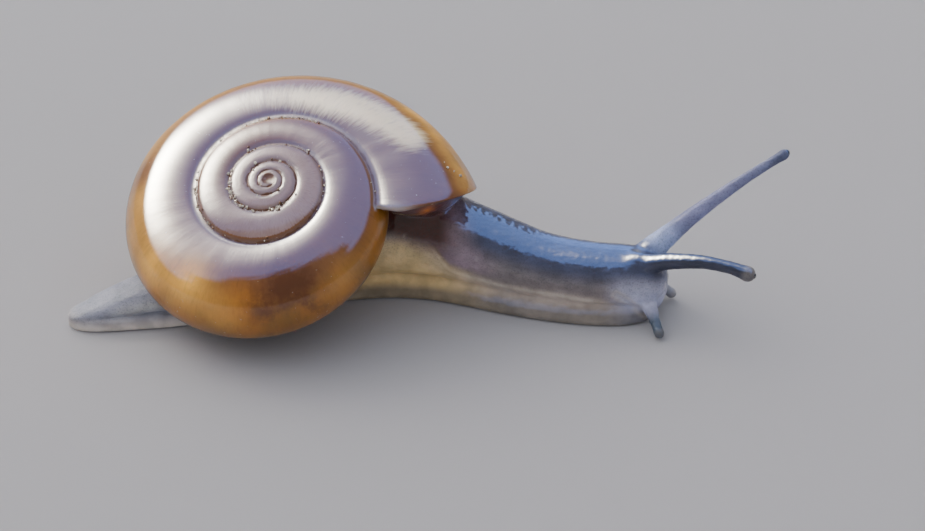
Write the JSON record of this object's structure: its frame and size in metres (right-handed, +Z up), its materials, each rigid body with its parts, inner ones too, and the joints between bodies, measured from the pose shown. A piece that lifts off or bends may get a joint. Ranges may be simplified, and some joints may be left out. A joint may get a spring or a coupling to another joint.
{
  "type": "glass snail",
  "caption": "Life-size crawling land snail with a low, glossy amber spiral shell, a slate-blue body, a raised head, long upper feelers with eyes and short lower ones.",
  "frame": {"origin": "on the floor, under the middle of the bounding box", "axes": "+X the way the snail crawls, +Y to its left, +Z up; the sole lies at z = 0"},
  "size_m": [0.029, 0.0114, 0.0076],
  "materials": {
    "shell": "glossy, slightly see-through amber shell",
    "skin": "wet slate-blue skin with fine bumps",
    "foot": "wet pale skin of the foot and its fringe",
    "mantle": "wet dark brown skin",
    "eye": "black and glossy"
  },
  "bodies": {
    "root": {"shell": "shell", "mantle_collar": "mantle", "tail": "skin", "foot_rear": "foot", "foot_front": "foot", "back": "skin", "neck": "skin", "head": "skin", "upper_feeler_base_right": "skin", "upper_feeler_tip_right": "skin", "upper_feeler_base_left": "skin", "upper_feeler_tip_left": "skin", "lower_feeler_right": "skin", "lower_feeler_left": "skin", "eye_right": "eye", "eye_left": "eye"}
  },
  "joints": []
}
